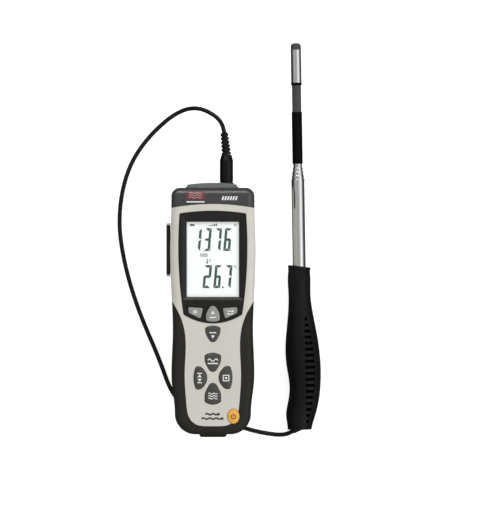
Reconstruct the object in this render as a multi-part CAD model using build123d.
from build123d import *
import math
import os

# Handheld hot-wire anemometer: a meter lying on its back, and its telescopic
# probe lying beside it, joined by a thin cable. All lengths are millimetres.
#
# Row frame: origin at the middle of the outline, on the surface the parts lie
# on; +X to the right, +Y towards the jack end and the probe's tip, +Z up out
# of the display.

# ---- Driving dimensions: the set on its surface ---------------------------
METER_X = -25.5          # centre line of the meter
END_Y = 163.3            # both ends of the set: rubber foot and probe tip
PROBE_X = 48.15          # where the probe's axis meets the handle's bottom
PROBE_LENGTH = 321.0
PROBE_LEAN = 0.9         # degrees, tip towards the meter
AXIS_Z = 14.5            # height of the probe's axis

# ---- Driving dimensions: meter, in its own frame --------------------------
# Its frame starts at the foot's end on the centre line, at the surface.
CASE_START = 2.6
CASE_END = 206.0
FACE_Z = 48.0            # front face
GRIP_BACK_Z = 10.0       # the back of the grip part stands clear of the surface
GRIP_BACK_END = 104.0
HEAD_BACK_START = 124.0  # from here on the back rests on the surface
SPLIT_Z = 20.0           # joint between front and rear halves
WALL = 2.6
SKIN = 1.4               # thickness of the rubber overmould
FACE_EDGE = 6.0
BACK_EDGE = 5.0
BASE_CORNER = (14.4, 19.6, 17.0)
TOP_CORNER = (27.3, 199.0, 7.0)
SIDE_POINTS = [(33.9, 45), (34.1, 60), (33.1, 85), (34.1, 118), (35.3, 157)]
GAP = 0.15               # clearance between shells that butt

# Display and its bezel.
BEZEL_DEPTH = 1.8
BEZEL_PROUD = 0.4
WINDOW_HALF = 21.5       # what shows between the bezel's inner edges
WINDOW_START = 116.0
WINDOW_END = 177.8
WINDOW_LAP = 1.1         # how far the pane runs under the bezel
LCD_TOP = 45.3

# Board and keys.
BOARD_Z = 39.6
BOARD_THICK = 1.6
KEY_GAP = 0.3
KEY_FLANGE = 0.7
KEY_PROUD = 1.0
POWER_KEY = (4.9, 6.1)   # half width and half length of the oval
POWER_PLACE = (17.0, 17.6)

# Probe jack and plug.
JACK_X = 11.1
JACK_Z = 27.0
PLUG_RADIUS = 5.5
BOOT_LEAN = 5.8          # degrees, towards the cable's loop
BOOT_LENGTH = 18.7

# Case screws, by their distance from the centre line and from the foot's end.
HEAD_SCREWS = (25.5, 197.0)
WAIST_SCREWS = (26.8, 118.0)
BASE_SCREWS = (24.5, 30.0)

# Battery and its door.
BATTERY_SIZE = (26.2, 45.6, 17.2)
BATTERY_START = 52.0
BATTERY_Z = 13.0
DOOR_HALF = 15.8
DOOR_START = 50.0
DOOR_END = 102.0
DOOR_THICK = 2.4

# Tilt stand, folded flush into the back.
STAND_HALF = 19.8
STAND_START = 130.2
STAND_AXIS_Y = 184.0
STAND_AXIS_Z = 2.3
KNUCKLE = 1.9

# Side flap over the sockets.
FLAP_START = 134.2
FLAP_END = 175.2
FLAP_X = -36.97
FLAP_AXIS_Z = 35.4
FLAP_HALF = 1.55
FLAP_LOW = 19.0
FLAP_EAR = 1.3           # length of each ear that carries the flap's pin
FLAP_FIT = 0.3           # gap between flap and ear
HINGE_PIN = 0.8          # radius of the moulded pins of flap and stand
PIN_FIT = 0.06           # their radial clearance

# ---- Driving dimensions: probe, along its own axis ------------------------
TUBE_RADII = [5.4, 4.95, 4.5, 4.05, 3.6]
TUBE_WALL = 0.3
TUBE_FIT = 0.05          # radial clearance of the telescopic fits
TUBE_1_START = 16.0
TUBE_1_END = 207.9
STEP = 3.2               # how far each section shows beyond the last
SHAFT_END = 263.7
STEM_RADIUS = 3.8
STEM_END = 315.6
SLEEVE_START = 288.1
SLEEVE_RADIUS = 4.3
COLLAR_LENGTH = 2.0
WIRE_AT = 301.4          # where the hot wire crosses the window
HANDLE_END = 132.2
HANDLE_WALL = 2.4
# Distance from the handle's bottom, left and right edge, half thickness.
HANDLE_SECTIONS = [
    (0.0, -11.8, 8.2, 11.5),
    (12.0, -12.9, 11.6, 12.7),
    (24.0, -10.9, 14.6, 13.6),
    (37.0, -9.7, 16.2, 14.2),
    (50.0, -11.4, 16.6, 14.5),
    (64.6, -12.6, 15.8, 14.1),
    (80.7, -11.6, 13.6, 12.9),
    (96.9, -9.9, 10.7, 11.0),
    (113.0, -9.4, 9.0, 9.6),
    (132.2, -9.1, 8.7, 9.1),
]
HANDLE_SCREWS = [(11.2, 56.0), (-7.3, 8.0)]
GROOVES = 18             # finger grooves in a row along the handle
GROOVE_SPAN = (6.9, 91.8)
GROOVE_LEFT = 3.4        # where each starts, beside the axis
GROOVE_WIDTHS = (2.4, 8.2)   # at the ends and at the middle of the row
GROOVE_HALF = 1.35
GROOVE_DEPTH = 1.1

# ---- Driving dimensions: cable --------------------------------------------
CABLE = 3.6
GLAND_START = (49.1, -154.7, 11.0)
GLAND_END = (41.1, -159.3, 6.8)
CABLE_ROUTE = [
    (-16.29, 88.9, 27.0),
    (-16.85, 94.4, 27.0),
    (-19.7, 100.8, 26.4),
    (-25.6, 104.9, 24.2),
    (-32.9, 108.7, 20.4),
    (-40.2, 109.9, 16.2),
    (-49.2, 108.3, 11.2),
    (-59.1, 103.5, 6.6),
    (-68.5, 96.1, 3.2),
    (-77.9, 87.0, 1.8),
    (-86.6, 76.1, 1.8),
    (-93.7, 64.3, 1.8),
    (-98.7, 51.2, 1.8),
    (-102.0, 37.2, 1.8),
    (-103.7, 22.2, 1.8),
    (-103.6, 6.4, 1.8),
    (-101.3, -9.8, 1.8),
    (-97.9, -25.8, 1.8),
    (-93.5, -41.6, 1.8),
    (-88.0, -57.8, 1.8),
    (-81.5, -74.2, 1.8),
    (-74.4, -90.6, 1.8),
    (-68.1, -106.4, 1.8),
    (-62.7, -121.8, 1.8),
    (-55.4, -133.8, 1.8),
    (-44.6, -142.1, 1.8),
    (-31.5, -145.9, 1.8),
    (-17.7, -149.2, 1.8),
    (-4.3, -155.6, 1.8),
    (9.0, -159.6, 1.8),
    (20.8, -161.8, 1.8),
    (29.7, -162.8, 2.4),
    (36.68, -161.84, 4.48),
    GLAND_END,
]

METER = Pos(METER_X, -END_Y, 0)
PROBE_Y = END_Y - PROBE_LENGTH * math.cos(math.radians(PROBE_LEAN))
PROBE = Pos(PROBE_X, PROBE_Y, AXIS_Z) * Rot(0, 0, PROBE_LEAN)


# ---- Helpers --------------------------------------------------------------
def slab(x, y, z):
    """A box from its lowest to its highest x, y and z."""
    return Pos(x[0], y[0], z[0]) * Box(
        x[1] - x[0], y[1] - y[0], z[1] - z[0], align=(Align.MIN,) * 3
    )


def post(x, y, radius, low, high):
    """An upright cylinder."""
    return Pos(x, y, low) * Cylinder(radius, high - low, align=(Align.CENTER, Align.CENTER, Align.MIN))


def rod(radius, start, end, x=0.0, z=0.0):
    """A cylinder along Y."""
    turned = Rot(-90, 0, 0) * Cylinder(radius, end - start, align=(Align.CENTER, Align.CENTER, Align.MIN))
    return Pos(x, start, z) * turned


def pipe(outer, inner, start, end, x=0.0, z=0.0):
    """A tube along Y."""
    return rod(outer, start, end, x, z) - rod(inner, start - 1, end + 1, x, z)


def crossbar(radius, start, end, y, z):
    """A cylinder along X."""
    turned = Rot(0, 90, 0) * Cylinder(radius, end - start, align=(Align.CENTER, Align.CENTER, Align.MIN))
    return Pos(start, y, z) * turned


def mirrored_pair(spot):
    """The two places of a fastener that sits each side of the centre line."""
    return [(-spot[0], spot[1]), spot]


# ---- Meter: outer form and the zones of its surface -----------------------
def case_outline(inset=0.0):
    """Plan of the case: round base, slight waist, square shoulders."""
    base_x, base_y, base_r = BASE_CORNER
    top_x, top_y, top_r = TOP_CORNER
    base_r -= inset
    top_r -= inset
    side = [(x - inset, y) for x, y in SIDE_POINTS]
    low = (base_x + base_r, base_y)
    high = (top_x + top_r, top_y)
    half = (
        Line((0, base_y - base_r), (base_x, base_y - base_r))
        + RadiusArc((base_x, base_y - base_r), low, -base_r)
        + Spline([low, *side, high], tangents=[(0, 1), (0, 1)])
        + RadiusArc(high, (top_x, top_y + top_r), -top_r)
        + Line((top_x, top_y + top_r), (0, top_y + top_r))
    )
    return make_face(half + mirror(half, Plane.YZ))


def case_body(inset=0.0):
    """The case as a solid block, its grip part raised off the surface."""
    blend = (HEAD_BACK_START - GRIP_BACK_END) * 0.45
    grip_z = GRIP_BACK_Z + inset
    below = make_face(
        Polyline(
            (GRIP_BACK_END, grip_z), (-10, grip_z), (-10, -5),
            (220, -5), (220, inset), (HEAD_BACK_START, inset),
        )
        + Bezier(
            (HEAD_BACK_START, inset), (HEAD_BACK_START - blend, inset),
            (GRIP_BACK_END + blend, grip_z), (GRIP_BACK_END, grip_z),
        )
    )
    return extrude(case_outline(inset), FACE_Z - inset) - extrude(Plane.YZ * below, 60, both=True)


def rounded_case(inset=0.0):
    """The case block with its face and back edges rounded."""
    body = case_body(inset)
    face_edges = body.edges().filter_by(lambda e: e.bounding_box().min.Z > FACE_Z - inset - 0.01)
    body = fillet(face_edges, FACE_EDGE - inset)

    def on_back_rim(edge):
        box = edge.bounding_box()
        across = box.size.Y < 0.01 and box.size.Z < 0.01
        inside = CASE_START + inset + 0.5 < box.center().Y < CASE_END - inset - 0.5
        return box.max.Z < GRIP_BACK_Z + inset + 0.1 and not (across and inside)

    return fillet(body.edges().filter_by(on_back_rim), BACK_EDGE - inset)


def grip_inside():
    """Plan of everything inside the rubber overmould's inner edge."""
    half = (
        Line((0, 9.5), (7, 9.6))
        + Spline([(7, 9.6), (18.4, 14.9), (21.8, 28)], tangents=[(1, 0.02), (0.08, 1)])
        + Spline(
            [(21.8, 28), (23.2, 52), (22.4, 80), (27.4, 101.4), (34.4, 113.6)], tangents=[(0.08, 1), (0.6, 1)]
        )
        + Polyline((34.4, 113.6), (50, 139.6), (50, 230), (0, 230))
    )
    return make_face(half + mirror(half, Plane.YZ))


def head_zone(shift=0.0):
    """Plan of the dark head cover: everything above a shallow arc."""
    return make_face(
        ThreePointArc((-42, 187.6 + shift), (0, 192.5 + shift), (42, 187.6 + shift))
        + Polyline((42, 187.6 + shift), (42, 230), (-42, 230), (-42, 187.6 + shift))
    )


def bezel_outline(shrink=0.0):
    """Plan of the display bezel."""
    half = (
        ThreePointArc((-27.4, 184.8), (0, 187.0), (27.4, 184.8))
        + ThreePointArc((27.4, 184.8), (28.4, 150), (24.2, 101.6))
        + ThreePointArc((24.2, 101.6), (0, 94.2), (-24.2, 101.6))
        + ThreePointArc((-24.2, 101.6), (-28.4, 150), (-27.4, 184.8))
    )
    face = make_face(half)
    face = fillet(face.vertices(), 1.0)
    return offset(face, -shrink) if shrink else face


# ---- Keys: plan shapes ----------------------------------------------------
def petal(width, length, shoulder, fullness, grow):
    """A key with a round narrow tip at the origin and a broad end towards +Y.

    shoulder is where its sides end, as a share of its length, fullness how far they
    bulge near the tip, and grow widens it all round.
    """
    half = width / 2 + grow
    length += 2 * grow
    corner = (half, shoulder * length)
    side = Spline(
        [(0, 0), (0.52 * fullness * half, 0.15 * length), (0.86 * fullness * half, 0.44 * length), corner],
        tangents=[(1, 0), (0.02, 1)],
    )
    end = ThreePointArc(corner, (0, length), (-half, corner[1]))
    shape = make_face(side + end + mirror(side, Plane.YZ))
    return Pos(0, -grow) * fillet(shape.vertices().sort_by(Axis.Y)[-2:], 0.13 * width)


def soft_key(side, grow):
    """One of the two slanted keys at the foot of the bezel; side is -1 or 1."""
    shape = make_face(Polyline(
        (side * 8.0, 106.8), (side * 20.4, 107.7), (side * 20.1, 102.8), (side * 10.0, 97.8), close=True
    ))
    shape = fillet(shape.vertices(), 1.3)
    return offset(shape, grow) if grow else shape


# Tip, turn in degrees, width, length, shoulder and fullness of each petal-shaped key.
PETALS = {
    "up_key": ((0, 108.6), 180, 11.4, 13.1, 0.92, 1.06),
    "down_key": ((0, 79.0), 0, 12.2, 13.1, 0.87, 1.0),
    "mean_key": ((0, 54.6), 0, 13.2, 15.2, 0.86, 1.03),
    "flow_key": ((0, 44.9), 180, 13.2, 17.4, 0.86, 1.07),
    "max_min_key": ((-4.8, 49.3), 90, 18.8, 10.9, 0.82, 1.08),
    "area_key": ((5.0, 49.6), -90, 18.8, 10.9, 0.82, 1.08),
}
KEYS = ["left_soft_key", "right_soft_key", *PETALS, "power_key"]


def key_plan(name, grow=0.0):
    """A key's plan on the meter, widened all round by grow."""
    if name in PETALS:
        tip, turn, *form = PETALS[name]
        return Pos(*tip) * Rot(0, 0, turn) * petal(*form, grow)
    if name == "power_key":
        return Pos(*POWER_PLACE) * Ellipse(POWER_KEY[0] + grow, POWER_KEY[1] + grow)
    return soft_key(-1 if name.startswith("left") else 1, grow)


def key_cap(name):
    """A cap with a retaining flange under the face and a stem over its switch."""
    flange_low = 43.9
    cap = extrude(Pos(0, 0, flange_low) * key_plan(name), FACE_Z + KEY_PROUD - flange_low)
    cap = fillet(cap.edges().group_by(Axis.Z)[-1], 0.5)
    flange = extrude(Pos(0, 0, flange_low) * key_plan(name, KEY_FLANGE), 1.2)
    centre = key_plan(name).center()
    return cap + flange + post(centre.X, centre.Y, 1.5, flange_low - 1.3, flange_low + 0.5)


def key_opening(name):
    """What is cut out of the face, bezel or overmould for one key."""
    return extrude(Pos(0, 0, 40) * key_plan(name, KEY_GAP), 12)


# ---- Meter: shells --------------------------------------------------------
def jack_opening():
    return slab((-18.7, 18.7), (200, 207), (17.2, 36.8))


def screw_seats():
    """Counterbores and clearance holes of the six case screws."""
    seats = []
    for spot, back in ((HEAD_SCREWS, 0.0), (WAIST_SCREWS, 0.0), (BASE_SCREWS, GRIP_BACK_Z)):
        for x, y in mirrored_pair(spot):
            low = back + 7.5 if spot is WAIST_SCREWS else back + 3.2
            seats.append(post(x, y, 2.9, -1, low))
            seats.append(post(x, y, 1.4, -1, SPLIT_Z + 1))
    return seats


def front_posts(spot):
    """Screw bosses that hang from the front half."""
    posts = Part()
    for x, y in mirrored_pair(spot):
        posts += post(x, y, 3.0, SPLIT_Z + GAP, FACE_Z - WALL + 0.2) - post(x, y, 1.2, 0, 38)
    return posts


def rear_posts():
    posts = Part()
    for spot, floor in ((HEAD_SCREWS, 1.0), (WAIST_SCREWS, 6.0), (BASE_SCREWS, GRIP_BACK_Z + 2)):
        for x, y in mirrored_pair(spot):
            posts += post(x, y, 3.6, floor, SPLIT_Z)
    return posts


def grip_skin(outer):
    """The rubber overmould over both halves, as one skin."""
    core = rounded_case(SKIN)
    return outer - core - extrude(grip_inside(), 100, both=True)


def build_shells():
    """Front case, head cover, rear case and the two overmould halves."""
    outer = rounded_case()
    cavity = case_body(WALL)
    skin = grip_skin(outer)
    for seat in screw_seats():
        skin -= seat
    upper = slab((-60, 60), (-20, 230), (SPLIT_Z + GAP / 2, 80))
    lower = slab((-60, 60), (-20, 230), (-20, SPLIT_Z - GAP / 2))
    front_grip = (skin & upper) - key_opening("power_key")
    rear_grip = skin & lower
    wall = outer - cavity - skin

    head = extrude(head_zone(GAP), 60)
    head_cover = (wall & upper & head) + (front_posts(HEAD_SCREWS) & outer) - jack_opening()

    front_case = (wall & upper) - extrude(head_zone(), 60)
    front_case += front_posts(WAIST_SCREWS) + front_posts(BASE_SCREWS)
    bezel_floor = FACE_Z - BEZEL_DEPTH
    front_case -= extrude(Pos(0, 0, bezel_floor) * bezel_outline(), 10)
    front_case -= window_block(0.1, (40, 60))
    for name in KEYS:
        front_case -= key_opening(name)
    front_case -= flap_sockets()
    front_case += flap_lugs()

    rear_case = (wall & lower) + (rear_posts() & outer)
    rear_case += slab((-16.4, 16.4), (48.6, 103.4), (GRIP_BACK_Z + 1, 33.0))
    rear_case += slab((-23.4, 23.4), (127, 189.2), (1, 6.6))
    rear_case += post(0, 195.5, 6.5, 1, 11)
    rear_case -= slab((-14.0, 14.0), (51.2, 102.0), (0, 31.4))
    door_room = DOOR_HALF + 0.25
    rear_case -= slab((-door_room, door_room), (DOOR_START - 0.25, DOOR_END + 0.25), (0, 12.6))
    stand_room = STAND_HALF + 0.6
    rear_case -= slab((-stand_room, stand_room), (STAND_START - 0.8, STAND_AXIS_Y + 2.4), (-5, 4.6))
    rear_case -= slab((-6, 6), (STAND_START - 4, STAND_START), (-5, 3.0))
    rear_case -= crossbar(HINGE_PIN + PIN_FIT, -22.6, 22.6, STAND_AXIS_Y, STAND_AXIS_Z)
    rear_case -= post(0, 195.5, 4.5, -5, 9.4)
    rear_case -= jack_opening()
    for seat in screw_seats():
        rear_case -= seat
    return {
        "front_case": front_case,
        "head_cover": head_cover,
        "rear_case": rear_case,
        "front_grip_overmould": front_grip,
        "rear_grip_overmould": rear_grip,
        "bottom_foot": bottom_foot(outer),
    }


def bottom_foot(outer):
    """The rubber foot that wraps the case's lower end and reaches the surface."""
    block = slab((-11.3, 11.3), (0, 9.0), (0, 34.0))
    block = fillet(block.edges().filter_by(Axis.Z).group_by(Axis.Y)[0], 2.2)
    return block - outer


def case_screws():
    """Six self-tapping screws, driven from the back."""
    screws = []
    for spot, head in ((HEAD_SCREWS, 3.2), (WAIST_SCREWS, 7.5), (BASE_SCREWS, GRIP_BACK_Z + 3.2)):
        for x, y in mirrored_pair(spot):
            screw = post(x, y, 2.5, head - 1.8, head) + post(x, y, 1.2, head, head + 20)
            screw -= Pos(x, y, head - 1.8) * Box(3.2, 0.7, 1.4)
            screw -= Pos(x, y, head - 1.8) * Box(0.7, 3.2, 1.4)
            screws.append(screw)
    return Compound(children=screws)


# ---- Meter: display -------------------------------------------------------
def display_bezel():
    """The bezel: a frame whose faces slope down to the window, and a flat key strip."""
    low = FACE_Z - BEZEL_DEPTH
    high = FACE_Z + BEZEL_PROUD
    bezel = extrude(Pos(0, 0, low) * bezel_outline(GAP), high - low)
    middle = (WINDOW_START + WINDOW_END) / 2
    length = WINDOW_END - WINDOW_START
    bezel -= slab((-WINDOW_HALF, WINDOW_HALF), (WINDOW_START, WINDOW_END), (40, 60))
    floor = Pos(0, middle, low + 1.2) * Rectangle(2 * WINDOW_HALF, length)
    mouth = Pos(0, middle + 1.6, high + 0.1) * Rectangle(2 * WINDOW_HALF + 8.4, length + 8.6)
    bezel -= loft([floor, mouth])
    for name in ("left_soft_key", "up_key", "right_soft_key"):
        bezel -= key_opening(name)
    return bezel


def window_block(grow, z):
    """The pane's plan, widened by grow, between two heights."""
    half = WINDOW_HALF + WINDOW_LAP + grow
    return slab((-half, half), (WINDOW_START - WINDOW_LAP - grow, WINDOW_END + WINDOW_LAP + grow), z)


def display_window():
    """The clear pane, held down on the display by the bezel."""
    return window_block(0.0, (LCD_TOP + 0.05, FACE_Z - BEZEL_DEPTH - 0.05))


def lcd_panel():
    return slab((-23.0, 23.0), (113.0, 181.0), (43.2, LCD_TOP))


def lcd_backlight():
    """A light guide in a frame with four clips that stand on the board."""
    frame = slab((-23.4, 23.4), (112.6, 181.4), (41.2, 43.1))
    return frame - slab((-19, 19), (118, 176), (41.0, 42.0))


# ---- Meter: board and what is on it ---------------------------------------
def main_board():
    board = extrude(Pos(0, 0, BOARD_Z) * case_outline(WALL + 1.4), BOARD_THICK)
    board &= slab((-40, 40), (0, 186), (30, 50))
    for spot in (WAIST_SCREWS, BASE_SCREWS):
        for x, y in mirrored_pair(spot):
            board -= post(x, y, 3.6, 30, 50)
    return board


def board_components():
    """Processor, converter, crystal and capacitors under the board."""
    chips = [
        ((-8, 4), (132, 144), 2.0),
        ((10, 17), (128, 137), 1.7),
        ((-20, -15), (150, 160), 1.7),
        ((-4, 7), (158, 162.6), 3.4),
        ((12, 18), (158, 164), 4.6),
        ((-22, -17), (70, 82), 2.2),
        ((18, 22), (62, 66), 3.0),
    ]
    return Compound(children=[slab(x, y, (BOARD_Z - depth, BOARD_Z)) for x, y, depth in chips])


def dome_switches():
    top = BOARD_Z + BOARD_THICK
    domes = []
    for name in KEYS:
        centre = key_plan(name).center()
        dome = post(centre.X, centre.Y, 2.4, top, top + 0.3)
        domes.append(dome + post(centre.X, centre.Y, 1.4, top, top + 0.45))
    return Compound(children=domes)


# ---- Meter: battery -------------------------------------------------------
def battery():
    """A 9 V block with its two snap terminals towards the head."""
    x, y, z = BATTERY_SIZE
    end = BATTERY_START + y
    block = slab((-x / 2, x / 2), (BATTERY_START, end), (BATTERY_Z, BATTERY_Z + z))
    block = fillet(block.edges().filter_by(Axis.Y), 2.0)
    mid = BATTERY_Z + z / 2
    return block + rod(2.9, end - 0.5, end + 2.0, -6.4, mid) + rod(3.6, end - 0.5, end + 2.0, 6.4, mid)


def battery_contacts():
    """The snap strip that the battery plugs into."""
    end = BATTERY_START + BATTERY_SIZE[1]
    mid = BATTERY_Z + BATTERY_SIZE[2] / 2
    strip = slab((-12.6, 12.6), (end + 2.1, end + 3.7), (mid - 6, mid + 6))
    studs = pipe(3.9, 3.0, end + 0.8, end + 2.2, -6.4, mid) + pipe(4.6, 3.7, end + 0.8, end + 2.2, 6.4, mid)
    return strip + studs


def battery_door():
    """A flush cover with two finger grooves."""
    door = slab(
        (-DOOR_HALF, DOOR_HALF), (DOOR_START, DOOR_END), (GRIP_BACK_Z, GRIP_BACK_Z + DOOR_THICK)
    )
    door = fillet(door.edges().filter_by(Axis.Z), 0.6)
    for y in (90.0, 93.0, 96.0):
        door -= slab((-7, 7), (y, y + 1.4), (GRIP_BACK_Z - 1, GRIP_BACK_Z + 0.8))
    return door


# ---- Meter: stand, tripod thread ------------------------------------------
def tilt_stand():
    """A folding leg; its knuckle snaps into the case on two moulded pins."""
    leg = slab((-STAND_HALF, STAND_HALF), (STAND_START, STAND_AXIS_Y), (0.5, 3.3))
    leg = fillet(leg.edges().filter_by(Axis.Z).group_by(Axis.Y)[0], 3.0)
    leg -= slab((-12.5, 12.5), (STAND_START + 12, STAND_AXIS_Y - 12), (-1, 8))
    leg += crossbar(KNUCKLE, -STAND_HALF, STAND_HALF, STAND_AXIS_Y, STAND_AXIS_Z)
    reach = STAND_HALF + 2.4
    return leg + crossbar(HINGE_PIN, -reach, reach, STAND_AXIS_Y, STAND_AXIS_Z)


def tripod_insert():
    """Brass insert with a quarter-inch camera thread, blind."""
    return post(0, 195.5, 4.5, 0.3, 9.4) - post(0, 195.5, 2.6, 0, 8.2)


# ---- Meter: side flap and sockets -----------------------------------------
def flap_lugs():
    """Two ears on the case side that carry the flap's pins."""
    lugs = Part()
    for low in (FLAP_START - FLAP_FIT - FLAP_EAR, FLAP_END + FLAP_FIT):
        high = low + FLAP_EAR
        ear = slab((FLAP_X, -33.4), (low, high), (FLAP_AXIS_Z - FLAP_HALF, FLAP_AXIS_Z + FLAP_HALF))
        ear += rod(FLAP_HALF, low, high, FLAP_X, FLAP_AXIS_Z)
        lugs += ear - rod(HINGE_PIN + PIN_FIT, low - 1, high + 1, FLAP_X, FLAP_AXIS_Z)
    return lugs


def jack_cover():
    """The flap, hinged along its upper edge on moulded pins."""
    flap = slab((FLAP_X - FLAP_HALF, FLAP_X + FLAP_HALF), (FLAP_START, FLAP_END), (FLAP_LOW, FLAP_AXIS_Z))
    flap = fillet(flap.edges().filter_by(Axis.X).group_by(Axis.Z)[0], 2.5)
    flap += rod(FLAP_HALF, FLAP_START, FLAP_END, FLAP_X, FLAP_AXIS_Z)
    reach = FLAP_FIT + FLAP_EAR
    return flap + rod(HINGE_PIN, FLAP_START - reach, FLAP_END + reach, FLAP_X, FLAP_AXIS_Z)


def flap_sockets():
    """Holes in the case side for the two sockets."""
    return slab((-40, -31), (143.0, 151.0), (24.0, 28.2)) + crossbar(4.0, -40, -31, 163.0, 28.7)


def usb_socket():
    shell = slab((-34.4, -25.2), (143.2, 150.8), (24.2, 28.0))
    mouth = slab((-35, -28), (143.6, 150.4), (24.6, 27.6))
    return shell - mouth + slab((-33.6, -27), (144.6, 149.4), (25.8, 26.4))


def dc_jack():
    """A barrel socket with its centre pin."""
    body = slab((-32.0, -19.0), (158.4, 167.6), (24.2, 33.2)) + crossbar(3.9, -34.2, -31.8, 163.0, 28.7)
    return body - crossbar(2.8, -35, -24, 163.0, 28.7) + crossbar(1.0, -33.4, -23, 163.0, 28.7)


def port_board():
    return slab((-31.0, -8.0), (139.0, 171.0), (22.6, 24.2))


# ---- Meter: probe jack ----------------------------------------------------
def jack_panel():
    """The raised end panel that carries the probe jack."""
    base = Plane.XZ.offset(-(CASE_END + 0.05)) * Pos(-0.8, JACK_Z) * RectangleRounded(44, 26, 5)
    panel = extrude(base, -4.15, taper=38)
    crown = make_face(
        ThreePointArc((-23, CASE_END + 2.4), (0, CASE_END + 4.2), (23, CASE_END + 2.4))
        + Polyline((23, CASE_END + 2.4), (23, CASE_END), (-23, CASE_END), (-23, CASE_END + 2.4))
    )
    panel &= extrude(crown, 60)
    panel += slab((-18.5, 18.5), (201.5, CASE_END + 0.2), (17.4, 36.6))
    return panel - rod(6.1, 195, 215, JACK_X, JACK_Z)


def probe_jack():
    """A round four-way socket with a closed contact block."""
    shell = pipe(6.05, 4.7, 191.0, 210.5, JACK_X, JACK_Z) + rod(4.9, 191.0, 195.6, JACK_X, JACK_Z)
    for x, z in pin_places():
        shell -= rod(0.62, 190, 196, x, z)
    return shell


def pin_places():
    return [(JACK_X + 2.1 * math.cos(a), JACK_Z + 2.1 * math.sin(a)) for a in (0.8, 2.4, 3.9, 5.5)]


def plug_pins():
    return Compound(children=[rod(0.6, 192.2, 204.0, x, z) for x, z in pin_places()])


def probe_plug():
    """Round plug: nose in the jack, grip body, cone towards the boot."""
    nose = rod(4.6, 197.0, 211.0, JACK_X, JACK_Z)
    body = rod(PLUG_RADIUS, 210.7, 228.7, JACK_X, JACK_Z)
    body = fillet(body.edges().group_by(Axis.Y)[0], 0.5)
    cone = Pos(JACK_X, 228.7, JACK_Z) * Rot(-90, 0, 0) * Cone(
        PLUG_RADIUS, 4.2, 4.9, align=(Align.CENTER, Align.CENTER, Align.MIN)
    )
    plug = nose + body + cone
    for x, z in pin_places():
        plug -= rod(0.6, 196, 204.0, x, z)
    return plug


def plug_boot():
    """Ribbed strain relief that leans the way the cable runs."""
    ribs = 6
    pitch = BOOT_LENGTH / ribs
    profile = [(0, 0), (3.9, 0)]
    for i in range(ribs):
        radius = 3.9 - 0.12 * i
        profile += [(radius, i * pitch + 0.6 * pitch), (radius - 0.9, i * pitch + 0.7 * pitch)]
        if i < ribs - 1:
            profile += [(radius - 0.9, (i + 1) * pitch - 0.1), (radius - 0.12, (i + 1) * pitch)]
    profile += [(2.4, BOOT_LENGTH), (0, BOOT_LENGTH)]
    turned = revolve(make_face(Polyline(*profile, close=True)), Axis.Y)
    lean = Pos(JACK_X, 233.6, JACK_Z) * Rot(0, 0, BOOT_LEAN) * turned
    return lean - slab((0, 25), (220, 233.6), (15, 40))


# ---- Probe: handle --------------------------------------------------------
def handle_form(inset=0.0):
    """The handle's shape, lofted through ellipses along its length."""
    rings = []
    for along, left, right, half in HANDLE_SECTIONS:
        spot = min(max(along, inset), HANDLE_END)
        plane = Plane(origin=((left + right) / 2, spot, 0), x_dir=(1, 0, 0), z_dir=(0, 1, 0))
        rings.append(plane * Ellipse((right - left) / 2 - inset, half - inset))
    return loft(rings)


def finger_grooves():
    """A row of short grooves across the handle, widest at its middle."""
    start, end = GROOVE_SPAN
    narrow, wide = GROOVE_WIDTHS
    grooves = Part()
    for i in range(GROOVES):
        share = i / (GROOVES - 1)
        along = start + share * (end - start)
        right = GROOVE_LEFT + narrow + (wide - narrow) * math.sin(math.pi * share)
        groove = slab((GROOVE_LEFT, right), (along - GROOVE_HALF, along + GROOVE_HALF), (0, 30))
        grooves += fillet(groove.edges().filter_by(Axis.Z), 0.5)
    return grooves - handle_form(GROOVE_DEPTH)


def build_handle():
    """Front and rear shells with ribs that clamp the fixed tube."""
    form = handle_form()
    room = handle_form(HANDLE_WALL)
    ribs = Part()
    for start in (18.0, 60.0, 100.0, 126.0):
        ribs += room & slab((-30, 30), (start, start + 2.4), (-30, 30))
    shell = form - room + ribs
    bosses = Part()
    for x, along in HANDLE_SCREWS:
        bosses += form & post(x, along, 2.5, -13, 13)
    shell += bosses
    shell -= rod(TUBE_RADII[0], 10, 140)
    front = (shell & slab((-30, 30), (-5, 140), (0.05, 30))) - finger_grooves()
    rear = shell & slab((-30, 30), (-5, 140), (-30, -0.05))
    for x, along in HANDLE_SCREWS:
        front -= post(x, along, 1.0, -1, 8)
        rear -= post(x, along, 1.2, -20, 1) + post(x, along, 2.3, -20, -6)
    gland_hole = gland_cone(3.0, 2.9)
    return {"handle_front": front - gland_hole, "handle_rear": rear - gland_hole}


def handle_screws():
    return Compound(children=[
        post(x, along, 2.1, -7.4, -6) + post(x, along, 1.0, -6.1, 7.5) for x, along in HANDLE_SCREWS
    ])


def handle_collar():
    """The end ring that closes the shells round the fixed tube."""
    ring = pipe(9.3, TUBE_RADII[0], HANDLE_END, HANDLE_END + 5.0)
    cut = Pos(0, HANDLE_END + 3.4, 0) * Rot(0, 0, -7) * slab((-20, 20), (0, 10), (-20, 20))
    return ring - cut


def gland_frame():
    start = Vector(*GLAND_START)
    return Plane(origin=start, z_dir=Vector(*GLAND_END) - start)


def gland_cone(start_radius, end_radius):
    """A cone along the gland's line, in the probe's own frame."""
    length = (Vector(*GLAND_END) - Vector(*GLAND_START)).length
    cone = Cone(start_radius, end_radius, length, align=(Align.CENTER, Align.CENTER, Align.MIN))
    return PROBE.inverse() * gland_frame().location * cone


def cable_gland():
    return gland_cone(2.9, 2.3)


# ---- Probe: telescope -----------------------------------------------------
def tube_starts():
    """Where each moving section's tube begins, clear of the bush below it."""
    return [TUBE_1_START] + [40.0 + 5.8 * k for k in range(4)]


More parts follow.
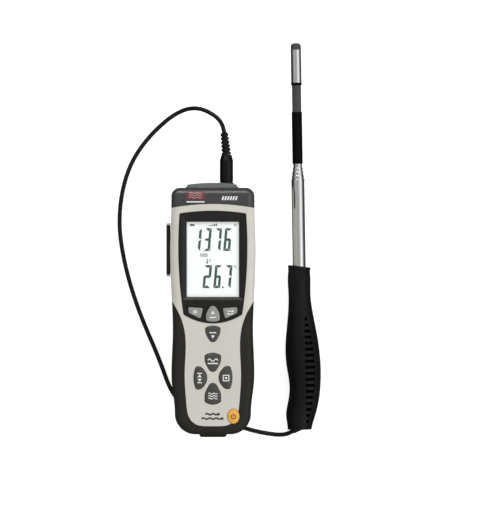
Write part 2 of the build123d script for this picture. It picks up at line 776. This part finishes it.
def telescope():
    """Five sections; each has a rolled lip at its top, and each moving one a bush."""
    starts = tube_starts()
    nodes = {}
    for k, radius in enumerate(TUBE_RADII):
        end = TUBE_1_END + STEP * k
        bore = radius - TUBE_WALL
        tube = pipe(radius, bore, starts[k], end)
        if k < 4:
            tube += pipe(bore + 0.1, TUBE_RADII[k + 1] + TUBE_FIT, end - 1.0, end)
        nodes[f"tube_{k + 1}"] = tube
        if k:
            above = TUBE_RADII[k - 1] - TUBE_WALL - TUBE_FIT
            nodes[f"tube_{k + 1}_bush"] = (
                pipe(above, bore - 0.6, starts[k] - 2.4, starts[k])
                + pipe(bore, bore - 0.6, starts[k] - 0.2, starts[k] + 3.0)
            )
    return nodes


def probe_shaft():
    """Black sleeve that joins the last section to the sensor stem."""
    start = TUBE_1_END + STEP * 4
    shaft = pipe(4.3, 2.2, start, SHAFT_END)
    shaft = fillet(shaft.edges().group_by(Axis.Y)[0].sort_by(SortBy.RADIUS)[-1:], 0.5)
    return shaft + pipe(TUBE_RADII[4] - TUBE_WALL, 2.2, start - 12, start + 0.2)


# ---- Probe: sensor head ---------------------------------------------------
def sensor_stem():
    """The stem, with a window through it for the air to cross the wire."""
    stem = rod(STEM_RADIUS, SHAFT_END, STEM_END)
    stem -= slab((-2.6, 2.6), (WIRE_AT - 8.6, WIRE_AT + 9.4), (-10, 10))
    stem -= rod(1.5, STEM_END - 3.2, STEM_END + 1)
    for x in (-1.4, 1.4):
        stem -= rod(0.35, WIRE_AT - 11.6, WIRE_AT - 7.6, x)
    return stem - rod(0.3, WIRE_AT + 6.4, WIRE_AT + 10.4)


def sensor_posts():
    return Compound(children=[rod(0.35, WIRE_AT - 11.6, WIRE_AT + 0.8, x) for x in (-1.4, 1.4)])


def hot_wire():
    return crossbar(0.2, -1.05, 1.05, WIRE_AT, 0)


def temperature_sensor():
    return Pos(0, WIRE_AT + 5.0, 0) * Sphere(0.9) + rod(0.3, WIRE_AT + 5.0, WIRE_AT + 10.4)


def sensor_sleeve():
    """The bright sleeve that slides down off the window."""
    return pipe(SLEEVE_RADIUS, STEM_RADIUS + 0.08, SLEEVE_START, STEM_END - 0.1)


def sleeve_collar():
    return pipe(SLEEVE_RADIUS + 0.15, STEM_RADIUS + 0.08, SLEEVE_START - COLLAR_LENGTH, SLEEVE_START)


def tip_cap():
    cap = rod(SLEEVE_RADIUS, STEM_END, PROBE_LENGTH)
    cap = fillet(cap.edges().group_by(Axis.Y)[-1], 2.8)
    return cap + rod(1.5, STEM_END - 3.2, STEM_END + 0.2)


# ---- Cable ----------------------------------------------------------------
def probe_cable():
    """Straight runs joined by arcs as large as their runs allow."""
    points = [Vector(*p) for p in CABLE_ROUTE]
    runs = [(b - a).length for a, b in zip(points, points[1:])]
    radii = []
    for i in range(1, len(points) - 1):
        turn = (points[i] - points[i - 1]).get_angle(points[i + 1] - points[i])
        radii.append(0.45 * min(runs[i - 1], runs[i]) / math.tan(math.radians(turn) / 2))
    path = FilletPolyline(*points, radius=radii)
    start = Plane(origin=path @ 0, z_dir=path % 0)
    tube = sweep(start * Circle(CABLE / 2), path=path)
    print("cable runs", [round(r, 1) for r in runs])
    print("cable radii", [round(r) for r in radii])
    print("cable length", round(path.length, 1))
    plain_volume = math.pi * (CABLE / 2) ** 2 * path.length
    print("cable volume over section times length", round(tube.volume / plain_volume, 4))
    return tube


# ---- Assembly -------------------------------------------------------------
def meter_parts():
    parts = build_shells()
    parts |= {name: key_cap(name) for name in KEYS}
    parts |= {
        "case_screws": case_screws(),
        "display_bezel": display_bezel(),
        "display_window": display_window(),
        "lcd_panel": lcd_panel(),
        "lcd_backlight": lcd_backlight(),
        "main_board": main_board(),
        "board_components": board_components(),
        "dome_switches": dome_switches(),
        "battery": battery(),
        "battery_contacts": battery_contacts(),
        "battery_door": battery_door(),
        "tilt_stand": tilt_stand(),
        "tripod_insert": tripod_insert(),
        "jack_cover": jack_cover(),
        "usb_socket": usb_socket(),
        "dc_jack": dc_jack(),
        "port_board": port_board(),
        "jack_panel": jack_panel(),
        "probe_jack": probe_jack(),
        "plug_pins": plug_pins(),
        "probe_plug": probe_plug(),
        "plug_boot": plug_boot(),
    }
    return parts


def probe_parts():
    parts = build_handle()
    parts |= telescope()
    parts |= {
        "handle_screws": handle_screws(),
        "handle_collar": handle_collar(),
        "cable_gland": cable_gland(),
        "probe_shaft": probe_shaft(),
        "sensor_stem": sensor_stem(),
        "sensor_posts": sensor_posts(),
        "hot_wire": hot_wire(),
        "temperature_sensor": temperature_sensor(),
        "sensor_sleeve": sensor_sleeve(),
        "sleeve_collar": sleeve_collar(),
        "tip_cap": tip_cap(),
    }
    return parts


def main():
    placed = {name: METER * shape for name, shape in meter_parts().items()}
    placed |= {name: PROBE * shape for name, shape in probe_parts().items()}
    placed["probe_cable"] = probe_cable()
    os.makedirs("parts", exist_ok=True)
    for name, shape in placed.items():
        export_step(shape, f"parts/{name}.step")
    print(len(placed), "nodes")


main()
